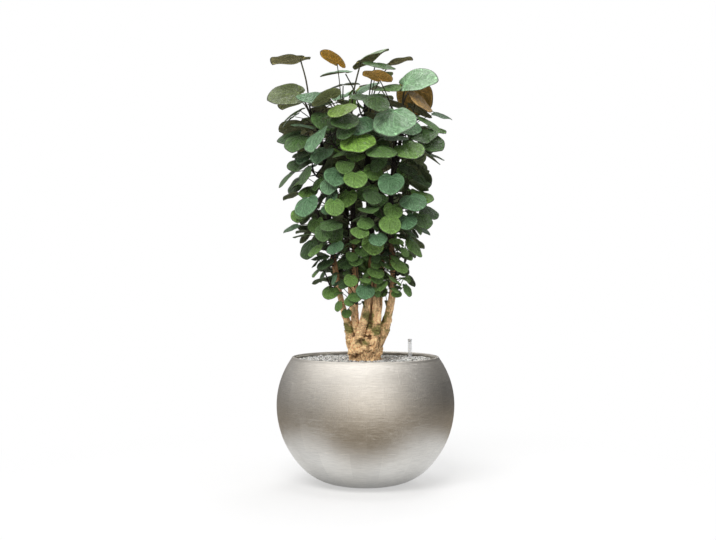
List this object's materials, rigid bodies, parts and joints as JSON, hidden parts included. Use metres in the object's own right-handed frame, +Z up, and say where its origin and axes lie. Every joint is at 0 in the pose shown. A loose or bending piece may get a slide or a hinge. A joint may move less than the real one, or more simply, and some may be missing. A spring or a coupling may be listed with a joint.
{
  "type": "potted aralia",
  "caption": "Bushy round-leaved aralia with several stems on a corky stump, set in pale gravel with a water gauge in a satin metal ball planter.",
  "frame": {"origin": "centre of the flat base of the planter", "axes": "+Z up the plant; -Y is the side the picture shows, +X to its right"},
  "size_m": [0.5244, 0.5, 1.2177],
  "materials": {
    "planter_metal": "satin, brushed, with faint square leaf marks",
    "soil": "loose and dark",
    "roots": "fibrous",
    "gravel": "fine pale gravel",
    "gauge_clear": "translucent",
    "gauge_cap": "satin",
    "gauge_float": "satin",
    "corky_bark": "corky, deeply fissured",
    "stem_bark": "rough bark, dark higher up",
    "foliage": "glossy leaves, brownish beneath"
  },
  "bodies": {
    "planted_pot": {"planter": "planter_metal", "substrate": "soil", "root_ball": "roots", "top_gravel": "gravel", "gauge_tube": "gauge_clear", "gauge_cap": "gauge_cap", "stump": "corky_bark", "stem_left": "stem_bark", "stem_mid_left": "stem_bark", "stem_centre": "stem_bark", "stem_right": "stem_bark", "stem_back_left": "stem_bark", "stem_back_right": "stem_bark", "leaf_00": "foliage", "leaf_01": "foliage", "leaf_02": "foliage", "leaf_03": "foliage", "leaf_04": "foliage", "leaf_05": "foliage", "leaf_06": "foliage", "leaf_07": "foliage", "leaf_08": "foliage", "leaf_09": "foliage", "leaf_10": "foliage", "leaf_11": "foliage", "leaf_12": "foliage", "leaf_13": "foliage", "leaf_14": "foliage", "leaf_15": "foliage", "leaf_16": "foliage", "leaf_17": "foliage", "leaf_18": "foliage", "leaf_19": "foliage", "leaf_20": "foliage", "leaf_21": "foliage", "leaf_22": "foliage", "leaf_23": "foliage", "shoot_00": "foliage", "shoot_01": "foliage", "shoot_02": "foliage", "shoot_03": "foliage", "shoot_04": "foliage", "shoot_05": "foliage", "shoot_06": "foliage", "shoot_07": "foliage", "shoot_08": "foliage", "shoot_09": "foliage", "shoot_10": "foliage", "shoot_11": "foliage", "shoot_12": "foliage", "shoot_13": "foliage", "shoot_14": "foliage", "shoot_15": "foliage", "shoot_16": "foliage", "shoot_17": "foliage", "shoot_18": "foliage", "shoot_19": "foliage", "shoot_20": "foliage", "shoot_21": "foliage"},
    "float": {"gauge_float": "gauge_float"}
  },
  "joints": [
    {"name": "float_rise", "type": "slide", "parent": "planted_pot", "child": "float", "axis": [0, 0, 1], "range_m": [0, 0.045]}
  ]
}
